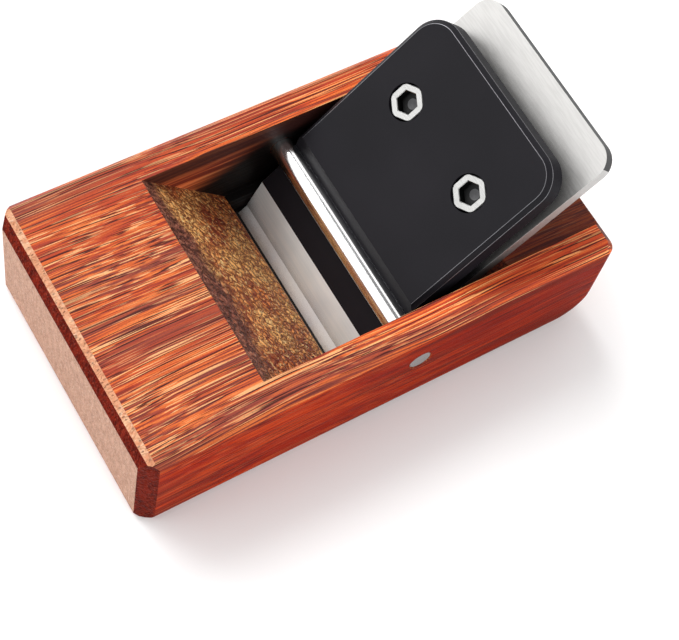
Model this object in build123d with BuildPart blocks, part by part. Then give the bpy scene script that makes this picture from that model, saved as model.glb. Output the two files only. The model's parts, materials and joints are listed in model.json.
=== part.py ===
"""Pocket hand plane: a wooden block with an open throat, a bedded blade and a lever cap.

Frame: origin at the centre of the sole, +X from the toe to the heel, +Z up, millimetres.
"""
import os
from math import cos, radians, sin, tan

from build123d import *

os.makedirs("parts", exist_ok=True)

# ---- wooden body ---------------------------------------------------------
BODY_LENGTH = 100.0
BODY_WIDTH = 58.0
BODY_HEIGHT = 25.0
TOE_CORNER = 2.8            # upright chamfers either side of the toe face
HEEL_CORNER = 0.8           # upright chamfers either side of the heel face
SOLE_ROUND = 2.4            # rounded lower edge along both sides
HEEL_ROUND = 8.0            # larger rounding under the heel
TOE_SOLE_BREAK = 0.8        # small chamfer under the toe
TOP_CHAMFER = 1.2           # chamfer round the top edge
TOE_BEVEL_RUN = 1.2         # deep bevel over the toe face, measured back from the face
TOE_BEVEL_DROP = 2.9        # and measured down from the top
TOE_TOP_BREAK = 1.2         # narrow break between that bevel and the top face
TOE_BREAK_DROP = 0.5        # how far that break falls
CUT_OVERRUN = 2.0           # cutting profiles run this far past the outside of the block

# ---- throat --------------------------------------------------------------
THROAT_HALF_WIDTH = 22.8
THROAT_FRONT_X = -23.6      # top edge of the escapement ramp
RAMP_FOOT_X = -4.5          # where the ramp turns down into the mouth
RAMP_FOOT_Z = 5.5
MOUTH_FRONT_X = -2.35
MOUTH_HALF_WIDTH = 21.2     # the cheeks step in below the foot of the ramp
HEEL_CHANNEL_DEPTH = 1.0    # shallow channel from the top of the bed to the heel

# ---- blade ---------------------------------------------------------------
PITCH = 42.0                # angle between the sole and the blade, degrees
EDGE_LINE_X = -2.09         # where the top face of the blade meets the sole plane
EDGE_SETBACK = 0.2          # cutting edge drawn back inside the mouth
BLADE_LENGTH = 67.0
BLADE_WIDTH = 41.7
BLADE_THICKNESS = 3.0
BLADE_CORNER = 4.0
BEVEL_ANGLE = 28.0
EDGE_FLAT = (0.12, 0.06)    # tiny flat behind the cutting edge, along and across the blade
SLIDING_GAP = 0.03          # clearance on each face the blade slides against

# ---- cross pin -----------------------------------------------------------
PIN_X = 7.3
PIN_Z = 16.0
PIN_DIAMETER = 5.0
PIN_LENGTH = 57.7
PIN_CHAMFER = 0.35
PIN_SEAT_GAP = 0.05         # radial clearance of the seat in the cap

# ---- lever cap -----------------------------------------------------------
CAP_ANGLE = 45.0
CAP_WIDTH = 41.9
CAP_THICKNESS = 5.0
CAP_TAIL_CORNER = 6.0
CAP_EDGE_CHAMFER = 0.9
CAP_SHOULDER = (9.68, 21.13)     # front edge of the broad upper face
CAP_FACE_LENGTH = 36.8
CAP_RIDGE = (2.67, 8.59)         # top of the ground nose
CAP_SADDLE = (8.69, 14.61)       # low point beneath the pin
NOSE_SETBACK = 2.74              # bare strip of blade in front of the nose
FOOT_END_X = 10.9                # back end of the foot that rests on the blade
HOLLOW_START = 0.5               # start of the open hollow behind the foot, up the face

# ---- set screws ----------------------------------------------------------
SCREW_DIAMETER = 7.2
SCREW_CORE = 6.5
SCREW_SPACING = 21.8
SCREW_ALONG_FACE = 21.1     # from the shoulder edge, measured up the face
SCREW_RECESS = 0.25
SCREW_LENGTH = 8.6
SCREW_POINT = 1.6           # length of the coned point
SCREW_RIM_CHAMFER = 0.35
POINT_DIAMETER = 3.4
SOCKET_FLATS = 4.0
SOCKET_DEPTH = 4.0
HOLE_GAP = 0.05             # radial clearance of the screw in its hole

# ---- directions in the upright middle plane ------------------------------
run = (cos(radians(PITCH)), sin(radians(PITCH)))          # up the bed
out = (-sin(radians(PITCH)), cos(radians(PITCH)))         # away from the bed
cap_run = (cos(radians(CAP_ANGLE)), sin(radians(CAP_ANGLE)))
cap_out = (-sin(radians(CAP_ANGLE)), cos(radians(CAP_ANGLE)))


def on_bed(along, above=0.0):
    """Point in the middle plane, measured along the top face of the blade and off it."""
    return (EDGE_LINE_X + along * run[0] + above * out[0], along * run[1] + above * out[1])


def on_cap(along, above=0.0):
    """Point in the middle plane, measured up the broad face of the cap and off it."""
    return (CAP_SHOULDER[0] + along * cap_run[0] + above * cap_out[0],
            CAP_SHOULDER[1] + along * cap_run[1] + above * cap_out[1])


def bed_x_at(height):
    """Where the sloping bed under the blade passes a given height."""
    return EDGE_LINE_X + (height + bed_drop) / tan(radians(PITCH))


bed_drop = (BLADE_THICKNESS + SLIDING_GAP) / cos(radians(PITCH))
channel_z = BODY_HEIGHT - HEEL_CHANNEL_DEPTH

# ---- plane body ----------------------------------------------------------
with BuildPart() as plane_body:
    with Locations((0, 0, BODY_HEIGHT / 2)):
        Box(BODY_LENGTH, BODY_WIDTH, BODY_HEIGHT)
    fillet(plane_body.faces().sort_by(Axis.Z)[0].edges().sort_by(Axis.X)[-1], HEEL_ROUND)
    fillet(plane_body.faces().sort_by(Axis.Z)[0].edges().filter_by(Axis.X), SOLE_ROUND)
    chamfer(plane_body.faces().sort_by(Axis.Z)[0].edges().sort_by(Axis.X)[0], TOE_SOLE_BREAK)
    rim = plane_body.faces().sort_by(Axis.Z)[-1].edges().sort_by(Axis.X)
    chamfer(rim[1:], TOP_CHAMFER)
    # upright corners
    with BuildSketch() as outline:
        Rectangle(BODY_LENGTH, BODY_WIDTH)
        corners = outline.vertices().sort_by(Axis.X)
        chamfer(corners[:2], TOE_CORNER)
        chamfer(corners[2:], HEEL_CORNER)
    extrude(amount=BODY_HEIGHT, mode=Mode.INTERSECT)
    # the toe bevel and the narrow break above it, cut straight across
    toe_x = -BODY_LENGTH / 2
    break_x = toe_x + TOE_BEVEL_RUN + TOE_TOP_BREAK
    with BuildSketch(Plane.XZ) as toe_profile:
        with BuildLine():
            Polyline((toe_x, BODY_HEIGHT - TOE_BEVEL_DROP),
                     (toe_x + TOE_BEVEL_RUN, BODY_HEIGHT - TOE_BREAK_DROP),
                     (break_x, BODY_HEIGHT), (break_x, BODY_HEIGHT + CUT_OVERRUN),
                     (toe_x - CUT_OVERRUN, BODY_HEIGHT + CUT_OVERRUN),
                     (toe_x - CUT_OVERRUN, BODY_HEIGHT - TOE_BEVEL_DROP), close=True)
        make_face()
    extrude(amount=BODY_WIDTH, both=True, mode=Mode.SUBTRACT)
    # throat, bed and the channel behind the bed
    with BuildSketch(Plane.XZ) as throat_profile:
        with BuildLine():
            Polyline((THROAT_FRONT_X, BODY_HEIGHT), (RAMP_FOOT_X, RAMP_FOOT_Z),
                     (bed_x_at(RAMP_FOOT_Z), RAMP_FOOT_Z), (bed_x_at(channel_z), channel_z),
                     (BODY_LENGTH, channel_z), (BODY_LENGTH, BODY_HEIGHT + CUT_OVERRUN),
                     (THROAT_FRONT_X, BODY_HEIGHT + CUT_OVERRUN), close=True)
        make_face()
    extrude(amount=THROAT_HALF_WIDTH, both=True, mode=Mode.SUBTRACT)
    # the narrower mouth below it
    with BuildSketch(Plane.XZ) as mouth_profile:
        with BuildLine():
            Polyline((RAMP_FOOT_X, RAMP_FOOT_Z), (MOUTH_FRONT_X, 0),
                     (MOUTH_FRONT_X, -CUT_OVERRUN), (bed_x_at(0), -CUT_OVERRUN),
                     (bed_x_at(0), 0), (bed_x_at(RAMP_FOOT_Z), RAMP_FOOT_Z), close=True)
        make_face()
    extrude(amount=MOUTH_HALF_WIDTH, both=True, mode=Mode.SUBTRACT)
    with Locations(Location((PIN_X, 0, PIN_Z), (90, 0, 0))):
        Cylinder(PIN_DIAMETER / 2, BODY_WIDTH * 1.1, mode=Mode.SUBTRACT)
plane_body.part.label = "plane_body"
export_step(plane_body.part, "parts/plane_body.step")

# ---- cross pin -----------------------------------------------------------
with BuildPart() as cross_pin:
    with Locations(Location((PIN_X, 0, PIN_Z), (90, 0, 0))):
        Cylinder(PIN_DIAMETER / 2, PIN_LENGTH)
    chamfer(cross_pin.edges().filter_by(GeomType.CIRCLE), PIN_CHAMFER)
cross_pin.part.label = "cross_pin"
export_step(cross_pin.part, "parts/cross_pin.step")

# ---- blade ---------------------------------------------------------------
bevel_run = BLADE_THICKNESS / tan(radians(BEVEL_ANGLE))
blade_heel = EDGE_SETBACK + BLADE_LENGTH
with BuildPart() as blade:
    with BuildSketch(Plane.XZ) as blade_profile:
        with BuildLine():
            Polyline(on_bed(EDGE_SETBACK), on_bed(blade_heel),
                     on_bed(blade_heel, -BLADE_THICKNESS),
                     on_bed(EDGE_SETBACK + bevel_run, -BLADE_THICKNESS),
                     on_bed(EDGE_SETBACK + EDGE_FLAT[0], -EDGE_FLAT[1]), close=True)
        make_face()
    extrude(amount=BLADE_WIDTH / 2, both=True)
    top_end = blade.faces().filter_by(Plane(origin=(0, 0, 0), z_dir=(run[0], 0, run[1])))
    heel_corners = top_end.sort_by(Axis.Z)[-1].edges().filter_by(Axis.Y, reverse=True)
    fillet(heel_corners, BLADE_CORNER)
blade.part.label = "blade"
export_step(blade.part, "parts/blade.step")

# ---- lever cap -----------------------------------------------------------
foot_end = (FOOT_END_X - EDGE_LINE_X) / run[0]
screw_seats = [Plane(origin=(on_cap(SCREW_ALONG_FACE)[0], side * SCREW_SPACING / 2,
                             on_cap(SCREW_ALONG_FACE)[1]),
                     x_dir=(cap_run[0], 0, cap_run[1]), z_dir=(cap_out[0], 0, cap_out[1]))
               for side in (-1, 1)]
with BuildPart() as lever_cap:
    with BuildSketch(Plane.XZ) as cap_profile:
        with BuildLine():
            Polyline(on_bed(NOSE_SETBACK, SLIDING_GAP), CAP_RIDGE, CAP_SADDLE, CAP_SHOULDER,
                     on_cap(CAP_FACE_LENGTH), on_cap(CAP_FACE_LENGTH, -CAP_THICKNESS),
                     on_cap(HOLLOW_START, -CAP_THICKNESS),
                     on_bed(foot_end, SLIDING_GAP), close=True)
        make_face()
    extrude(amount=CAP_WIDTH / 2, both=True)
    tail_corners = lever_cap.edges().group_by(Axis((0, 0, 0), (cap_run[0], 0, cap_run[1])))[-1]
    fillet(tail_corners.filter_by(Axis.Y, reverse=True), CAP_TAIL_CORNER)
    face_plane = Plane(origin=(CAP_SHOULDER[0], 0, CAP_SHOULDER[1]),
                       z_dir=(cap_out[0], 0, cap_out[1]))
    broad_face = lever_cap.faces().filter_by(face_plane).sort_by(SortBy.AREA)[-1]
    shoulder_edge = broad_face.edges().sort_by(Axis.Z)[0]
    chamfer([e for e in broad_face.edges() if e != shoulder_edge], CAP_EDGE_CHAMFER)
    with Locations(Location((PIN_X, 0, PIN_Z), (90, 0, 0))):
        Cylinder(PIN_DIAMETER / 2 + PIN_SEAT_GAP, BODY_WIDTH, mode=Mode.SUBTRACT)
    with Locations(*screw_seats):
        Cylinder(SCREW_DIAMETER / 2 + HOLE_GAP, 4 * CAP_THICKNESS, mode=Mode.SUBTRACT)
lever_cap.part.label = "lever_cap"
export_step(lever_cap.part, "parts/lever_cap.step")


def set_screw(seat):
    """Socket set screw with a coned point; its outer end lies just under the cap face."""
    top = seat.offset(-SCREW_RECESS)
    with BuildPart() as screw:
        with BuildSketch(top):
            Circle(SCREW_DIAMETER / 2)
        extrude(amount=-(SCREW_LENGTH - SCREW_POINT))
        with BuildSketch(top.offset(-(SCREW_LENGTH - SCREW_POINT))):
            Circle(SCREW_CORE / 2)
        with BuildSketch(top.offset(-SCREW_LENGTH)):
            Circle(POINT_DIAMETER / 2)
        loft()
        rims = screw.edges().filter_by(GeomType.CIRCLE).group_by(
            Axis(seat.origin, seat.z_dir))
        chamfer(rims[-1], SCREW_RIM_CHAMFER)
        with BuildSketch(top):
            RegularPolygon(SOCKET_FLATS / 2, 6, major_radius=False)
        extrude(amount=-SOCKET_DEPTH, mode=Mode.SUBTRACT)
    return screw.part


# ---- the two set screws --------------------------------------------------
with BuildPart() as screw_near:
    add(set_screw(screw_seats[0]))
screw_near.part.label = "screw_near"
export_step(screw_near.part, "parts/screw_near.step")

with BuildPart() as screw_far:
    add(set_screw(screw_seats[1]))
screw_far.part.label = "screw_far"
export_step(screw_far.part, "parts/screw_far.step")
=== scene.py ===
"""Looks of the pocket hand plane: wood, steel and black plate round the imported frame."""
import json
import math

import bmesh
import bpy
from mathutils import Matrix, Vector


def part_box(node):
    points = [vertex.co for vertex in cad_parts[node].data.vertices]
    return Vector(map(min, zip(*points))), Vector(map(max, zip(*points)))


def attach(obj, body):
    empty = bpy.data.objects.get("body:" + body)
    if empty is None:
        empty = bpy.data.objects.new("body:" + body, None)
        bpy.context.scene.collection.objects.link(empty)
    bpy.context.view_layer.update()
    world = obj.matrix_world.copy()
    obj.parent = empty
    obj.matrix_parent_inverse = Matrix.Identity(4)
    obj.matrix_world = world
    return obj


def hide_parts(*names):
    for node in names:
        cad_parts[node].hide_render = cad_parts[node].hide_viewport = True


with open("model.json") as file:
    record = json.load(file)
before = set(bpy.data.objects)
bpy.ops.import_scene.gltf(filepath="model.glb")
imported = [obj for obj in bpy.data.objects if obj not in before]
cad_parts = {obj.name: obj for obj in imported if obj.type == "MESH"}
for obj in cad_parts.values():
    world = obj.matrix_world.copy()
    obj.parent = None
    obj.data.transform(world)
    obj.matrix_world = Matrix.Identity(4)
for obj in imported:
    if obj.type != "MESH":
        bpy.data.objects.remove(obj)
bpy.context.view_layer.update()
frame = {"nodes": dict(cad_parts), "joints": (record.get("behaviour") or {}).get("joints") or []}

MM = 0.001
NODES = frame["nodes"]
JOINTS = {joint["name"]: joint for joint in frame["joints"]}
BODY_LOW, BODY_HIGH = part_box("plane_body")
PIN_LOW, PIN_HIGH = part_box("cross_pin")
PIN_AXIS = (PIN_LOW + PIN_HIGH) / 2
PIN_RADIUS = (PIN_HIGH.z - PIN_LOW.z) / 2
BLADE_RUN = Vector(JOINTS["blade_slide"]["axis"]).normalized()
BLADE_OUT = Vector((-BLADE_RUN.z, 0, BLADE_RUN.x))
SCREW_OUT = Vector(JOINTS["near_screw_travel"]["axis"]).normalized()
CAP_RUN = Vector((SCREW_OUT.z, 0, -SCREW_OUT.x))
CAP_RIDGE_X = 2.7 * MM
CAP_SHOULDER_X = 9.68 * MM
SCREW_BODIES = {"near": "near_screw", "far": "far_screw"}
SCREW_CENTRES = [sum(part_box(node), Vector()) / 2 for node in ("screw_near", "screw_far")]

# ---- camera ---------------------------------------------------------------
CAMERA_PLACE = Vector((-111.75, -122.51, 301.98)) * MM
CAMERA_AIM = Vector((-0.59, -13.68, 12.5)) * MM
CAMERA_ROLL = 16.9              # degrees
CAMERA_LENS = 93.0              # mm on a 36 mm sensor


def make_camera():
    data = bpy.data.cameras.new("camera")
    data.lens = CAMERA_LENS
    data.sensor_width = 36.0
    data.clip_start, data.clip_end = 0.01, 10.0
    camera = bpy.data.objects.new("camera", data)
    bpy.context.scene.collection.objects.link(camera)
    camera.location = CAMERA_PLACE
    look = (CAMERA_AIM - CAMERA_PLACE).to_track_quat("-Z", "Y")
    roll = Matrix.Rotation(math.radians(CAMERA_ROLL), 4, "Z").to_quaternion()
    camera.rotation_mode = "QUATERNION"
    camera.rotation_quaternion = look @ roll
    bpy.context.scene.camera = camera


# ---- light ----------------------------------------------------------------
WORLD_LIGHT = 0.22              # strength overhead; the horizon is white, at strength 1
HORIZON_FADE = (0.20, 0.45)     # Z of the direction between which white turns to WORLD_LIGHT
LIGHT_AIM = Vector((0, 0, 15)) * MM
SUN_DISC = 45                   # degrees across


def softbox(name, towards, distance, size, power):
    data = bpy.data.lights.new(name, "AREA")
    data.shape = "RECTANGLE"
    data.size, data.size_y = size
    data.energy = power
    light = bpy.data.objects.new(name, data)
    bpy.context.scene.collection.objects.link(light)
    light.location = LIGHT_AIM + Vector(towards).normalized() * distance
    light.rotation_mode = "QUATERNION"
    light.rotation_quaternion = (LIGHT_AIM - light.location).to_track_quat("-Z", "Y")


def soft_sun(name, towards, strength):
    data = bpy.data.lights.new(name, "SUN")
    data.angle = math.radians(SUN_DISC)
    data.energy = strength
    light = bpy.data.objects.new(name, data)
    bpy.context.scene.collection.objects.link(light)
    light.rotation_mode = "QUATERNION"
    light.rotation_quaternion = (-Vector(towards)).to_track_quat("-Z", "Y")


def make_lights():
    softbox("toe_box", (-0.68, 0.33, 0.66), 0.75, (0.60, 1.10), 2.3)
    softbox("back_box", (0.54, 0.33, 0.77), 0.90, (0.60, 0.42), 0.9)
    soft_sun("far_sun", (-0.10, 0.72, 0.68), 2.6)
    softbox("near_box", (-0.15, -0.75, 0.65), 0.90, (1.20, 0.85), 3.2)
    softbox("heel_box", (0.85, -0.35, 0.40), 0.90, (0.60, 0.60), 2.5)


def make_world():
    """White at the horizon, fading to a weaker light overhead."""
    world = bpy.data.worlds.new("world")
    bpy.context.scene.world = world
    world.use_nodes = True
    background = world.node_tree.nodes["Background"]
    background.inputs["Color"].default_value = (1, 1, 1, 1)
    nodes, links = world.node_tree.nodes, world.node_tree.links
    split = nodes.new("ShaderNodeSeparateXYZ")
    links.new(nodes.new("ShaderNodeTexCoord").outputs["Generated"], split.inputs[0])
    fade = nodes.new("ShaderNodeMapRange")
    fade.interpolation_type = "SMOOTHSTEP"
    for key, value in zip(("From Min", "From Max", "To Min", "To Max"),
                          (*HORIZON_FADE, 1.0, WORLD_LIGHT)):
        fade.inputs[key].default_value = value
    links.new(split.outputs["Z"], fade.inputs["Value"])
    links.new(fade.outputs["Result"], background.inputs["Strength"])
    bpy.context.scene.view_settings.view_transform = "Standard"


# ---- node helpers ---------------------------------------------------------
class Tree:
    """Short hand for a material's nodes."""

    def __init__(self, name):
        self.material = bpy.data.materials.new(name)
        self.material.use_nodes = True
        self.tree = self.material.node_tree
        self.shader = self.tree.nodes["Principled BSDF"]

    def node(self, kind, **settings):
        made = self.tree.nodes.new(kind)
        for key, value in settings.items():
            setattr(made, key, value)
        return made

    def put(self, value, socket):
        if isinstance(value, bpy.types.NodeSocket):
            self.tree.links.new(value, socket)
        elif value is not None:
            socket.default_value = value

    def place(self, scale):
        """Object coordinates in metres, times scale."""
        mapping = self.node("ShaderNodeMapping")
        self.put(self.node("ShaderNodeTexCoord").outputs["Object"], mapping.inputs["Vector"])
        mapping.inputs["Scale"].default_value = scale
        return mapping.outputs["Vector"]

    def noise(self, where, detail=2.0, rough=0.5, distortion=0.0):
        made = self.node("ShaderNodeTexNoise")
        self.put(where, made.inputs["Vector"])
        made.inputs["Scale"].default_value = 1.0
        made.inputs["Detail"].default_value = detail
        made.inputs["Roughness"].default_value = rough
        made.inputs["Distortion"].default_value = distortion
        return made.outputs["Fac"]

    def voronoi(self, where, feature="F1"):
        made = self.node("ShaderNodeTexVoronoi", feature=feature)
        self.put(where, made.inputs["Vector"])
        made.inputs["Scale"].default_value = 1.0
        return made.outputs["Distance"]

    def remap(self, value, low, high, to_low=0.0, to_high=1.0, smooth=True):
        made = self.node("ShaderNodeMapRange")
        made.interpolation_type = "SMOOTHSTEP" if smooth else "LINEAR"
        for key, item in zip(("Value", "From Min", "From Max", "To Min", "To Max"),
                             (value, low, high, to_low, to_high)):
            self.put(item, made.inputs[key])
        return made.outputs["Result"]

    def math(self, operation, first, second=None):
        made = self.node("ShaderNodeMath", operation=operation)
        self.put(first, made.inputs[0])
        self.put(second, made.inputs[1])
        return made.outputs[0]

    def mix(self, amount, first, second, blend="MIX"):
        made = self.node("ShaderNodeMix", data_type="RGBA", blend_type=blend)
        self.put(amount, made.inputs["Factor"])
        for item, socket in ((first, made.inputs[6]), (second, made.inputs[7])):
            self.put((*item, 1) if isinstance(item, tuple) else item, socket)
        return made.outputs[2]

    def times(self, first, second):
        return self.math("MULTIPLY", first, second)

    def scaled(self, where, scale, shift=(0, 0, 0)):
        """A coordinate times scale, plus shift."""
        made = self.node("ShaderNodeVectorMath", operation="MULTIPLY_ADD")
        self.put(where, made.inputs[0])
        made.inputs[1].default_value = scale
        made.inputs[2].default_value = shift
        return made.outputs[0]

    def bend(self, amount, reach):
        """Object coordinates shifted across the grain by up to reach metres."""
        shift = self.node("ShaderNodeCombineXYZ")
        offset = self.times(self.math("SUBTRACT", amount, 0.5), 2 * reach)
        self.put(offset, shift.inputs["Y"])
        self.put(offset, shift.inputs["Z"])
        made = self.node("ShaderNodeVectorMath", operation="ADD")
        self.put(self.node("ShaderNodeTexCoord").outputs["Object"], made.inputs[0])
        self.put(shift.outputs[0], made.inputs[1])
        return made.outputs[0]

    def axis(self, name):
        """One object coordinate, in metres: X, Y or Z."""
        split = self.node("ShaderNodeSeparateXYZ")
        self.put(self.node("ShaderNodeTexCoord").outputs["Object"], split.inputs[0])
        return split.outputs[name]

    def bump(self, height, strength, distance):
        made = self.node("ShaderNodeBump")
        self.put(height, made.inputs["Height"])
        made.inputs["Strength"].default_value = strength
        made.inputs["Distance"].default_value = distance
        self.put(made.outputs["Normal"], self.shader.inputs["Normal"])

    def finish(self, colour, roughness, **constants):
        self.put(colour, self.shader.inputs["Base Color"])
        self.put(roughness, self.shader.inputs["Roughness"])
        for key, value in constants.items():
            self.shader.inputs[key.replace("_", " ")].default_value = value
        return self.material


# ---- wood -----------------------------------------------------------------
# Where the block's materials begin and end, and which faces they go on.
TINT_REACH = 0.6                # share of the half length over which the heel tint, on the top a painted brightening, comes in
RAMP_TOP_X = -23.6 * MM
RAMP_HALF_WIDTH = 24 * MM
BAND_DEPTH_MIDDLE, BAND_DEPTH_SIDE = 4.6 * MM, 1.8 * MM
BAND_RAGGED = 6 * MM
THROAT_SHADE_LINE = (-27 * MM, -16 * MM)      # painted shade: where the cheeks turn from wood colour to black
CHEEK_BAND = (6.2 * MM, 3.0 * MM)       # dark band, measured down from the top
MIDDLE_HALF_WIDTH = 22.6 * MM   # faces nearer the middle lie in the throat or on the bed
CHEEK_HALF_WIDTH = 23.2 * MM
MOUTH_REACH = 30 * MM
MOUTH_TOP = 5.6 * MM
TOE_BREAK_X, TOE_BEVEL_X, TOE_FACE_X = -47.5 * MM, -46.5 * MM, -40 * MM
PALE, PEACH, ORANGE = (1.00, 0.58, 0.28), (0.92, 0.33, 0.11), (0.80, 0.17, 0.030)
RUST, MAUVE, DARK = (0.50, 0.060, 0.022), (0.30, 0.062, 0.045), (0.070, 0.010, 0.008)


def long_grain(name, lively=1.0, tint=(1, 1, 1), gloss=0.2, heel_tint=(1, 1, 1)):
    """Wood seen along the grain, which runs in X; towards the heel it is multiplied by heel_tint,
    painted light on the top, darker on the side.
    """
    t = Tree(name)
    sway = t.noise(t.place((16, 34, 34)), detail=1)
    grain = t.bend(sway, 0.0020)
    patch = t.noise(t.scaled(grain, (10, 150, 150)), detail=2)
    group = t.noise(t.scaled(grain, (13, 270, 270)), detail=3, rough=0.6)
    streak = t.noise(t.scaled(grain, (46, 2400, 2400)), detail=3, rough=0.58, distortion=0.1)
    hair = t.noise(t.scaled(grain, (30, 3500, 3500)), detail=2, rough=0.45)
    # painted shadow: the fibre lines shifted a little across, for the dark side of each raised
    # fibre
    fibre_shadow = t.noise(t.scaled(grain, (30, 3500, 3500), (0, 0.45, 0.45)), detail=2, rough=0.45)
    grit = t.noise(t.place((2500, 5000, 5000)), detail=1)
    groups = t.remap(group, 0.40, 0.58)
    base = t.mix(t.remap(patch, 0.42, 0.60), RUST, MAUVE)
    orange = t.times(t.remap(groups, 0, 1, 0.25, 1), t.remap(streak, 0.44, 0.56))
    base = t.mix(orange, base, ORANGE)
    base = t.mix(t.times(groups, t.remap(streak, 0.53, 0.63, 0, 0.7 * lively)), base, PEACH)
    base = t.mix(t.remap(streak, 0.44, 0.36, 0, 0.5), base, DARK)
    # painted shadow beside the raised fibres
    base = t.mix(t.remap(fibre_shadow, 0.55, 0.61, 0, 0.95 * lively), base, DARK)
    # pale fibre lines: partly the wood's own pale fibres, partly a painted highlight on their lit
    # side
    pale = t.times(t.remap(groups, 0, 1, 0.45, 1), t.remap(hair, 0.57, 0.62, 0, lively))
    base = t.mix(pale, base, PALE)
    base = t.mix(t.remap(grit, 0.55, 0.70, 0, 0.3), base, DARK)
    base = t.mix(1.0, base, tint, "MULTIPLY")
    # towards the heel: on the top a painted brightening where the light falls off, on the side
    # darker
    towards_heel = t.remap(t.axis("X"), BODY_LOW.x * TINT_REACH, BODY_HIGH.x * TINT_REACH)
    base = t.mix(towards_heel, base, t.mix(1.0, base, heel_tint, "MULTIPLY"))
    t.bump(t.math("SUBTRACT", hair, fibre_shadow), 0.4, 0.0003)
    return t.finish(base, t.remap(streak, 0.3, 0.7, 0.48, 0.60), Specular_IOR_Level=gloss)


def end_grain(name, low, high, fleck, fleck_share=0.5, gloss=0.3, sections=0.0):
    """Wood cut across the grain: fine pores in the YZ plane."""
    t = Tree(name)
    mottle = t.noise(t.place((500, 900, 350)), detail=4, rough=0.75)
    speck = t.noise(t.place((1500, 2300, 2300)), detail=2, rough=0.6)
    pores = t.voronoi(t.place((900, 1500, 1500)))
    colour = t.mix(t.remap(mottle, 0.35, 0.65), low, high)
    colour = t.mix(t.remap(speck, 0.5, 0.72, 0, fleck_share), colour, fleck)
    colour = t.mix(t.remap(pores, 0.25, 0.10, 0, 0.35), colour, DARK)
    section = t.noise(t.place((60, 260, 60)), detail=0)
    colour = t.mix(t.remap(section, 0.44, 0.56, 0, sections), colour, low)
    crumple = t.noise(t.place((900, 1100, 900)), detail=2, distortion=0.8)
    t.bump(t.math("ADD", crumple, t.times(t.remap(pores, 0.3, 0.1), -0.5)), 0.9, 0.0009)
    return t.finish(colour, t.remap(mottle, 0.3, 0.7, 0.5, 0.65), Specular_IOR_Level=gloss)


def ramp_wood(name):
    """The sloping front of the throat: golden scaly end grain with painted highlights on its
    scales, under a dark brown upper band.
    """
    t = Tree(name)
    crumple = t.bend(t.noise(t.place((700, 700, 700)), detail=2), 0.0012)
    scale = t.noise(t.scaled(crumple, (900, 1100, 1100)), detail=3, rough=0.62, distortion=0.6)
    cell = t.voronoi(t.scaled(crumple, (560, 800, 800)), feature="DISTANCE_TO_EDGE")
    mottle = t.noise(t.place((95, 80, 95)), detail=2)
    fleck = t.noise(t.scaled(crumple, (700, 600, 700)), detail=2)
    colour = t.mix(t.remap(mottle, 0.38, 0.62), (1.00, 0.49, 0.15), (0.90, 0.27, 0.065))
    colour = t.mix(t.remap(scale, 0.52, 0.42, 0, 0.75), colour, (0.30, 0.060, 0.016))
    colour = t.mix(t.remap(cell, 0.14, 0.03, 0, 0.8), colour, (0.12, 0.022, 0.007))
    red = t.times(t.remap(mottle, 0.44, 0.56), t.remap(fleck, 0.42, 0.60))
    colour = t.mix(t.times(red, 0.85), colour, (0.20, 0.022, 0.008))
    # painted highlight: pale crowns on the scales
    colour = t.mix(t.remap(scale, 0.56, 0.66, 0, 0.8), colour, (1.00, 0.66, 0.28))
    across = t.times(t.axis("Y"), 1 / RAMP_HALF_WIDTH)
    hollow = t.remap(t.times(across, across), 0.0, 1.0, BAND_DEPTH_MIDDLE, BAND_DEPTH_SIDE,
                     smooth=False)
    ragged = t.times(t.math("SUBTRACT", mottle, 0.5), BAND_RAGGED)
    below = t.math("SUBTRACT", t.math("SUBTRACT", BODY_HIGH.z, t.axis("Z")), ragged)
    band = t.remap(t.math("DIVIDE", below, hollow), 1.5, 0.6)
    brown = t.mix(t.remap(scale, 0.40, 0.66), (0.06, 0.016, 0.010), (0.30, 0.09, 0.06))
    brown = t.mix(t.remap(scale, 0.66, 0.74, 0, 0.8), brown, (0.6, 0.40, 0.28))
    t.bump(t.math("ADD", scale, t.remap(cell, 0.0, 0.3)), 0.9, 0.0005)
    return t.finish(t.mix(t.times(band, 0.93), colour, brown), 0.5, Specular_IOR_Level=0.3)


def throat_wood(name):
    """The inner faces of the cheeks: long grain, going to black in painted shade towards the
    mouth.
    """
    t = Tree(name)
    streaks = t.noise(t.place((24, 800, 800)), detail=3, rough=0.6, distortion=0.25)
    colour = t.mix(t.remap(streaks, 0.42, 0.60), (0.24, 0.036, 0.018), (1.00, 0.24, 0.075))
    colour = t.mix(t.remap(streaks, 0.60, 0.68, 0, 0.8), colour, (0.9, 0.45, 0.18))
    # painted shade: the cheeks go to black lower down and further back in the throat
    depth = t.math("SUBTRACT", t.times(t.axis("X"), 0.62), t.axis("Z"))
    colour = t.mix(t.remap(depth, *THROAT_SHADE_LINE), colour, (0.003, 0.002, 0.002))
    edge = t.remap(t.axis("Z"), *(BODY_HIGH.z - down for down in CHEEK_BAND), 0, 0.9)
    colour = t.mix(edge, colour, (0.045, 0.014, 0.012))
    t.bump(streaks, 0.4, 0.0004)
    return t.finish(colour, 0.5, Specular_IOR_Level=0.2)


# ---- metal ----------------------------------------------------------------
BRUSH_ALONG, BRUSH_ACROSS = 40.0, 4000.0        # noise scale along and across the brush lines


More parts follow.
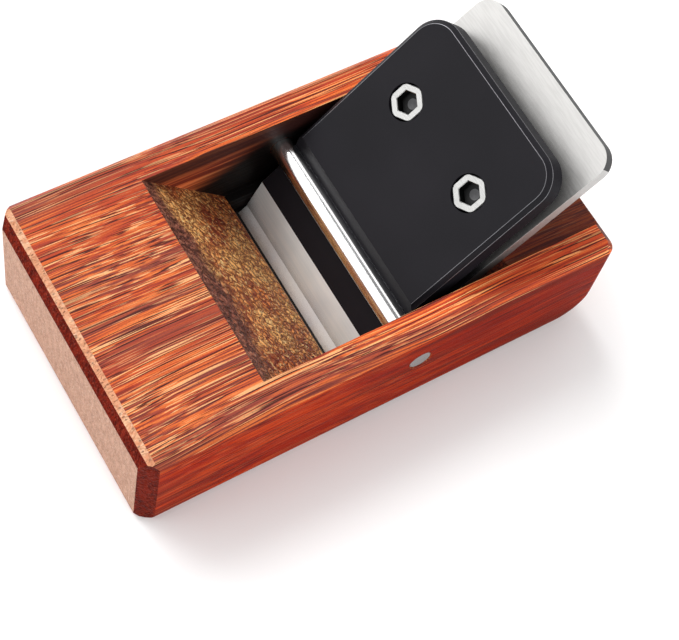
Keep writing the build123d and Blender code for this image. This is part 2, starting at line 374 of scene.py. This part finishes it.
def brushed(name, colour, roughness, along, strength=0.12, metallic=1.0):
    """Metal with brush lines that run along one object axis."""
    t = Tree(name)
    stretch = tuple(BRUSH_ALONG if axis == along else BRUSH_ACROSS for axis in "XYZ")
    lines = t.noise(t.place(stretch), detail=3, rough=0.6)
    cloud = t.noise(t.place((60, 60, 60)), detail=2)
    bright = tuple(min(1.0, c * 1.06) for c in colour)
    dull = tuple(c * 0.90 for c in colour)
    shade = t.mix(t.remap(lines, 0.35, 0.65), dull, bright)
    t.bump(lines, strength, 0.0002)
    rough = t.math("ADD", t.remap(lines, 0.3, 0.7, roughness - 0.05, roughness + 0.06),
                   t.remap(cloud, 0.3, 0.7, -0.02, 0.03))
    return t.finish(shade, rough, Metallic=metallic)


def black_plate(name, gloss=0.12):
    t = Tree(name)
    grit = t.noise(t.place((3500, 3500, 3500)), detail=2)
    cloud = t.noise(t.place((40, 40, 40)), detail=2)
    colour = t.mix(t.remap(cloud, 0.3, 0.7), (0.010, 0.0095, 0.012), (0.014, 0.013, 0.0165))
    t.bump(grit, 0.12, 0.0001)
    return t.finish(colour, t.remap(grit, 0.3, 0.7, 0.40, 0.48), Specular_IOR_Level=gloss)


# ---- pieces ---------------------------------------------------------------
EDGE_ANGLE = math.radians(24)   # a CAD edge that turns more than this is crisp
FLAT_ANGLE = math.radians(0.6)  # neighbouring triangles closer than this become one face
JOIN_DISTANCE = 1e-6            # metres
SHADE_REACH = 9.0 * MM          # how far off a piece still shades the metal
# near-black of the painted shade on the metal and round the pin's end
SHADE_BLACK = (0.03, 0.03, 0.03)
BRUSHED_FROM_X, LAPPED_TO_X = 11.5 * MM, 9.5 * MM       # the blade's two finishes meet between
BLOCK_BEVEL, IRON_BEVEL, CAP_BEVEL = 0.28 * MM, 0.12 * MM, 0.16 * MM
CAP_HOLE_CLEAR = 4.0 * MM       # no softened edges this near a screw's axis
CAP_SHOULDER_CLEAR = 0.3 * MM
TURNED_PITCH = 0.35 * MM        # spacing of the rings on the pin's ends
(WOOD_LONG, WOOD_TOE, WOOD_BREAK, WOOD_BEVEL, WOOD_RAMP, WOOD_THROAT, WOOD_BED, WOOD_SIDE,
 WOOD_HEEL) = range(9)
IRON_TOP, IRON_SIDES, IRON_END = range(3)
CAP_TOP, CAP_NOSE, CAP_EDGE, CAP_WALL = range(4)


def every_edge(middle):
    return True


def add_object(name, mesh):
    made = bpy.data.objects.new(name, mesh)
    bpy.context.scene.collection.objects.link(made)
    return made


def clean_mesh(bm):
    """Join the CAD mesh's loose triangles into whole flat faces."""
    bmesh.ops.remove_doubles(bm, verts=bm.verts, dist=JOIN_DISTANCE)
    bmesh.ops.dissolve_limit(bm, angle_limit=FLAT_ANGLE, verts=bm.verts, edges=bm.edges,
                             delimit={"NORMAL"})
    bm.normal_update()


def mark_edges(bm, softened):
    """Give a bevel weight to the crisp edges that are to be softened."""
    weight = bm.edges.layers.float.new("bevel_weight_edge")
    for edge in bm.edges:
        crisp = edge.calc_face_angle(0) > EDGE_ANGLE
        middle = (edge.verts[0].co + edge.verts[1].co) / 2
        edge[weight] = float(crisp and softened(middle))
        edge.smooth = not crisp or softened(middle)


def soften_edges(piece, width, edge_material):
    """Round the weighted edges; edge_material -1 keeps the material of the faces beside."""
    soften = piece.modifiers.new("edges", "BEVEL")
    soften.width = width
    soften.segments = 2
    soften.material = edge_material
    soften.limit_method = "WEIGHT"
    weigh = piece.modifiers.new("normals", "WEIGHTED_NORMAL")
    weigh.weight = 100
    weigh.keep_sharp = True


def bevelled_copy(name, node, body, width, materials, choose, edge_material=-1,
                  softened=every_edge):
    """A copy of a CAD node with flat faces made whole, softened edges and its own materials."""
    mesh = NODES[node].data.copy()
    mesh.name = name
    mesh.attributes.remove(mesh.attributes["custom_normal"])
    mesh.materials.clear()
    for material in materials:
        mesh.materials.append(material)
    bm = bmesh.new()
    bm.from_mesh(mesh)
    clean_mesh(bm)
    mark_edges(bm, softened)
    for face in bm.faces:
        face.smooth = True
        face.material_index = choose(face.calc_center_median(), face.normal)
    bm.to_mesh(mesh)
    bm.free()
    piece = add_object(name, mesh)
    soften_edges(piece, width, edge_material)
    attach(piece, body)
    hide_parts(node)


def in_middle(centre):
    return abs(centre.y) < MIDDLE_HALF_WIDTH


def on_ramp(centre, normal):
    below_top = centre.z < BODY_HIGH.z - 0.2 * MM
    return in_middle(centre) and below_top and RAMP_TOP_X < centre.x < 0 and normal.z > 0.3


def in_throat(centre, normal):
    on_cheek = abs(centre.y) < CHEEK_HALF_WIDTH and abs(normal.y) > 0.9
    by_mouth = abs(centre.x) < MOUTH_REACH and 0.1 * MM < centre.z < MOUTH_TOP
    return on_cheek or in_middle(centre) and by_mouth


def on_toe_bevel(centre, normal):
    slanted = normal.z > 0.2 or abs(normal.y) > 0.3
    return centre.x < TOE_BEVEL_X and normal.x < -0.3 and slanted


def block_face(centre, normal):
    """Which wood a face of the block shows, as a place in make_block's list."""
    if on_ramp(centre, normal):
        return WOOD_RAMP
    if in_throat(centre, normal):
        return WOOD_THROAT
    if centre.x < TOE_BREAK_X and normal.z > 0.75:
        return WOOD_BREAK
    if on_toe_bevel(centre, normal):
        return WOOD_BEVEL
    if centre.x < TOE_FACE_X and normal.x < -0.9:
        return WOOD_TOE
    if in_middle(centre) and normal.z > 0.5 and centre.z < BODY_HIGH.z - 0.5 * MM:
        return WOOD_BED
    if normal.x > 0.5:
        return WOOD_HEEL
    return WOOD_SIDE if abs(normal.y) > 0.8 or normal.z < -0.3 else WOOD_LONG


def block_woods():
    """The block's materials, in the order of the WOOD_ numbers."""
    return [
        # painted light: the top grows brighter towards the heel, making up for the light falling
        # off there
        long_grain("wood_long", 1.0, (0.80, 0.68, 0.60), heel_tint=(1.25, 1.10, 0.90)),
        end_grain("wood_toe", (0.40, 0.19, 0.11), (0.57, 0.32, 0.22), (0.80, 0.58, 0.46)),
        end_grain("wood_break", (0.60, 0.24, 0.12), (0.74, 0.41, 0.24), (0.84, 0.60, 0.44),
                  sections=0.6),
        end_grain("wood_bevel", (0.08, 0.006, 0.003), (0.18, 0.014, 0.006), (0.45, 0.08, 0.04),
                  fleck_share=0.35, gloss=0.02),
        ramp_wood("wood_ramp"),
        throat_wood("wood_throat"),
        # painted shade: the bed is the long grain darkened to about a fifth, for the shadow of
        # the blade and cap over it
        long_grain("wood_bed", 0.4, (0.20, 0.14, 0.12)),
        long_grain("wood_side", 0.4, (0.60, 0.235, 0.165), gloss=0.03,
                   heel_tint=(0.70, 0.55, 0.50)),
        end_grain("wood_heel", (0.30, 0.055, 0.022), (0.42, 0.10, 0.045), (0.62, 0.22, 0.11),
                  fleck_share=0.4, gloss=0.1),
    ]


def make_block():
    bevelled_copy("block", "plane_body", "block", BLOCK_BEVEL, block_woods(),
                  block_face)


def contact_shade(t, colour, dark, light):
    """The colour, darkened where another piece stands close over the metal: painted shade."""
    nearby = t.node("ShaderNodeAmbientOcclusion", samples=8)
    nearby.inputs["Distance"].default_value = SHADE_REACH
    return t.mix(t.remap(nearby.outputs["AO"], dark, light), SHADE_BLACK, colour)


def blade_steel():
    """Brushed along the blade's width, with the bare strip near the edge lapped satin grey."""
    t = Tree("steel_blade")
    lines = t.noise(t.place((3000, 220, 3000)), detail=3, rough=0.6)
    cloud = t.noise(t.place((50, 50, 50)), detail=2)
    lapped = t.remap(t.axis("X"), BRUSHED_FROM_X, LAPPED_TO_X)
    bright = t.mix(t.remap(lines, 0.35, 0.65), (0.58, 0.57, 0.555), (0.64, 0.63, 0.615))
    # painted shade on both finishes, where the cap and the cheeks stand close over the blade
    bright = contact_shade(t, bright, 0.34, 0.70)
    colour = t.mix(lapped, bright, contact_shade(t, (0.93, 0.97, 0.98), 0.12, 0.42))
    t.bump(lines, 0.010, 0.0001)
    t.put(t.remap(lapped, 0, 1, 0.75, 0.30), t.shader.inputs["Metallic"])
    rough = t.math("ADD", t.remap(lines, 0.3, 0.7, 0.31, 0.35),
                   t.remap(cloud, 0.3, 0.7, -0.02, 0.02))
    return t.finish(colour, rough)


def iron_face(centre, normal):
    if normal.dot(BLADE_OUT) > 0.5:
        return IRON_TOP
    return IRON_END if normal.dot(BLADE_RUN) > 0.4 else IRON_SIDES


def make_iron():
    steels = [blade_steel(), brushed("steel_sides", (0.50, 0.49, 0.48), 0.45, "Y"),
              brushed("steel_end", (0.02, 0.02, 0.021), 0.6, "Y", metallic=0.2)]
    bevelled_copy("iron", "blade", "iron", IRON_BEVEL, steels, iron_face)


def nose_steel():
    """The cap's bright foot, ground across."""
    t = Tree("steel_nose")
    lines = t.noise(t.place((2400, 50, 2400)), detail=3, rough=0.6)
    cloud = t.noise(t.place((90, 90, 90)), detail=2)
    colour = t.mix(t.remap(lines, 0.3, 0.7), (0.86, 0.93, 0.95), (0.95, 1.00, 1.00))
    colour = t.mix(t.remap(cloud, 0.35, 0.7, 0, 0.35), colour, (0.60, 0.66, 0.67))
    # painted shade where other pieces stand close over the nose
    colour = contact_shade(t, colour, 0.12, 0.42)
    t.bump(lines, 0.06, 0.0002)
    return t.finish(colour, t.remap(cloud, 0.3, 0.7, 0.45, 0.55), Metallic=0.3)


def cap_face(centre, normal):
    if centre.x < CAP_RIDGE_X and normal.x < -0.85:
        return CAP_NOSE
    return CAP_TOP if normal.dot(SCREW_OUT) > 0.6 else CAP_WALL


def clear_of_holes(middle):
    """True for the cap's edges that are softened: not the screw holes, not the shoulder."""
    at_shoulder = abs(middle.x - CAP_SHOULDER_X) < CAP_SHOULDER_CLEAR
    return not at_shoulder and all(
        (middle - centre).cross(SCREW_OUT).length > CAP_HOLE_CLEAR for centre in SCREW_CENTRES)


def make_cap():
    nose = nose_steel()
    edge = brushed("black_edge", (0.22, 0.22, 0.235), 0.38, "Y", metallic=0.8)
    wall = black_plate("black_wall", 0.02)
    bevelled_copy("cap_plate", "lever_cap", "cap", CAP_BEVEL,
                  [black_plate("black_plate"), nose, edge, wall], cap_face,
                  edge_material=CAP_EDGE, softened=clear_of_holes)


def pin_end(t):
    """Fine turned rings, with a thin dark line of painted shade round the rim, where the pin
    meets its hole.
    """
    off_axis = t.node("ShaderNodeVectorMath", operation="DISTANCE")
    t.put(t.place((1, 0, 1)), off_axis.inputs[0])
    off_axis.inputs[1].default_value = (PIN_AXIS.x, 0, PIN_AXIS.z)
    radius = off_axis.outputs["Value"]
    turned = t.math("SINE", t.times(radius, 2 * math.pi / TURNED_PITCH))
    faced = t.mix(t.remap(turned, -1, 1), (0.30, 0.30, 0.30), (0.42, 0.42, 0.415))
    # painted shade: a thin dark line just inside the rim of the end
    rim = t.remap(radius, PIN_RADIUS - 0.3 * MM, PIN_RADIUS - 0.1 * MM)
    return t.mix(rim, faced, SHADE_BLACK)


def make_pin():
    """Polished steel with turned, dull ends."""
    t = Tree("steel_pin")
    lines = t.noise(t.place((3000, 60, 3000)), detail=3, rough=0.6)
    colour = t.mix(t.remap(lines, 0.3, 0.7), (0.86, 0.86, 0.86), (0.92, 0.92, 0.92))
    end = t.remap(t.math("ABSOLUTE", t.axis("Y")), PIN_HIGH.y - 0.2 * MM, PIN_HIGH.y - 0.1 * MM)
    rough = t.math("MAXIMUM", t.remap(lines, 0.3, 0.7, 0.12, 0.17), t.times(end, 0.42))
    pin = t.finish(t.mix(end, colour, pin_end(t)), rough, Metallic=1.0)
    for slot in NODES["cross_pin"].material_slots:
        slot.material = pin


# ---- set screws -----------------------------------------------------------
SCREW_ROUND = 3.60 * MM         # largest radius of the thread and of the head's corners
HEAD_FLATS = 6.65 * MM          # the outer end is a rounded hexagon across these flats
HEAD_HEIGHT = 0.9 * MM
SOCKET_FLATS = 4.0 * MM
SOCKET_DEPTH = 2.3 * MM
THREAD_CORE = 3.15 * MM
THREAD_PITCH = 0.8 * MM
THREAD_TURNS = 6
POINT_RADIUS = 1.7 * MM
SCREW_LENGTH = 8.6 * MM
CLOSING_RADIUS = 0.02 * MM      # small last outline at either end
SCREW_SIDES = 72
SHARP_ANGLE = math.radians(28)
RIM_DEPTH = 0.01 * MM           # CAD points this close to the outermost belong to the rim
SCREW_FACE, SCREW_WALL, SCREW_FLOOR = range(3)


def circle(radius):
    return lambda angle: radius


def hexagon(flats, corner):
    """Radius of a hexagon with a point up the cap, its corners cut round at the corner radius."""
    def reach(angle):
        across = (angle + math.pi / 6) % (math.pi / 3) - math.pi / 6
        return min(flats / 2 / math.cos(math.pi / 6 - abs(across)), corner)
    return reach


def screw_rings():
    """Outlines from the middle of the socket, out over the rim and down to the point.

    Each is a radius by angle, a height along the axis and the material of the faces before it.
    """
    socket, head = hexagon(SOCKET_FLATS, 1.0), hexagon(HEAD_FLATS, SCREW_ROUND)
    rim = hexagon(SOCKET_FLATS + 0.25 * MM, 1.0)
    worn = hexagon(HEAD_FLATS - 0.35 * MM, SCREW_ROUND - 0.18 * MM)
    yield circle(CLOSING_RADIUS), -SOCKET_DEPTH - 0.35 * MM, SCREW_FLOOR
    yield circle(1.05 * MM), -SOCKET_DEPTH, SCREW_FLOOR
    yield socket, -SOCKET_DEPTH + 0.1 * MM, SCREW_WALL
    yield socket, -0.15 * MM, SCREW_WALL
    yield rim, 0.0, SCREW_FACE
    yield worn, 0.0, SCREW_FACE
    yield head, -0.2 * MM, SCREW_FACE
    yield head, -HEAD_HEIGHT, SCREW_WALL
    for turn in range(THREAD_TURNS):
        top = -HEAD_HEIGHT - turn * THREAD_PITCH
        yield circle(THREAD_CORE), top - 0.1 * MM, SCREW_WALL
        yield circle(SCREW_ROUND), top - 0.45 * THREAD_PITCH, SCREW_WALL
        yield circle(SCREW_ROUND), top - 0.6 * THREAD_PITCH, SCREW_WALL
    yield circle(THREAD_CORE), -HEAD_HEIGHT - (THREAD_TURNS + 0.1) * THREAD_PITCH, SCREW_WALL
    yield circle(POINT_RADIUS), -SCREW_LENGTH, SCREW_WALL
    yield circle(CLOSING_RADIUS), -SCREW_LENGTH, SCREW_WALL


def ring_points(middle, reach, height):
    """Points of one outline, spaced evenly round the screw's axis."""
    for step in range(SCREW_SIDES):
        angle = 2 * math.pi * step / SCREW_SIDES
        spoke = CAP_RUN * math.cos(angle) + Vector((0, 1, 0)) * math.sin(angle)
        yield middle + SCREW_OUT * height + spoke * reach(angle)


def screw_mesh(name, middle):
    """The outlines lofted into one closed skin; middle is the centre of the outer end."""
    bm = bmesh.new()
    rows = [[bm.verts.new(point) for point in ring_points(middle, reach, height)]
            for reach, height, _ in screw_rings()]
    parts = [part for _, _, part in screw_rings()]
    for row, following, part in zip(rows, rows[1:], parts[1:]):
        for step in range(SCREW_SIDES):
            after = (step + 1) % SCREW_SIDES
            face = bm.faces.new((row[step], row[after], following[after], following[step]))
            face.material_index = part
            face.smooth = True
    bm.faces.new(rows[0][::-1]).material_index = SCREW_FLOOR
    bm.faces.new(rows[-1])
    bmesh.ops.recalc_face_normals(bm, faces=bm.faces)
    mesh = bpy.data.meshes.new(name)
    bm.to_mesh(mesh)
    bm.free()
    mesh.set_sharp_from_angle(angle=SHARP_ANGLE)
    return mesh


def outer_end(node):
    """Centre of the CAD screw's outer rim."""
    points = [vertex.co for vertex in NODES[node].data.vertices]
    outer = max(point.dot(SCREW_OUT) for point in points)
    rim = [point for point in points if point.dot(SCREW_OUT) > outer - RIM_DEPTH]
    return sum(rim, Vector()) / len(rim)


def make_screw(name, node, body, materials):
    mesh = screw_mesh(name, outer_end(node))
    for material in materials:
        mesh.materials.append(material)
    piece = add_object(name, mesh)
    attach(piece, body)
    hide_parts(node)


def make_screws():
    materials = [brushed("steel_screw", (0.54, 0.54, 0.53), 0.38, "Y", strength=0.3),
                 brushed("steel_socket", (0.03, 0.03, 0.03), 0.45, "Y"),
                 brushed("steel_bottom", (0.16, 0.16, 0.165), 0.55, "Y", metallic=0.3)]
    for side in ("near", "far"):
        make_screw(f"set_screw_{side}", f"screw_{side}", SCREW_BODIES[side], materials)


# ---- floor ----------------------------------------------------------------
FLOOR_REACH = 0.9               # metres each way
# Painted shade: a dark patch on the floor under the body keeps its light out of the mouth; it
# fades between these distances.
SHADE_PATCH_X, SHADE_PATCH_Y = (18 * MM, 12 * MM), (25 * MM, 22 * MM)


def floor_material():
    t = Tree("floor")
    tone = t.noise(t.place((6, 6, 6)), detail=2)
    pale = t.mix(t.remap(tone, 0.3, 0.7), (0.97, 0.97, 0.97), (0.985, 0.985, 0.985))
    under_x = t.remap(t.math("ABSOLUTE", t.axis("X")), *SHADE_PATCH_X)
    under_y = t.remap(t.math("ABSOLUTE", t.axis("Y")), *SHADE_PATCH_Y)
    # painted shade under the body, seen through the mouth
    return t.finish(t.mix(t.times(under_x, under_y), pale, (0.02, 0.02, 0.02)), 0.9)


def make_floor():
    mesh = bpy.data.meshes.new("floor")
    corners = [(-1, -1), (1, -1), (1, 1), (-1, 1)]
    mesh.from_pydata([(x * FLOOR_REACH, y * FLOOR_REACH, 0) for x, y in corners], [],
                     [(0, 1, 2, 3)])
    mesh.materials.append(floor_material())
    floor = add_object("floor", mesh)


make_camera()
make_lights()
make_world()
make_floor()
make_block()
make_iron()
make_cap()
make_pin()
make_screws()
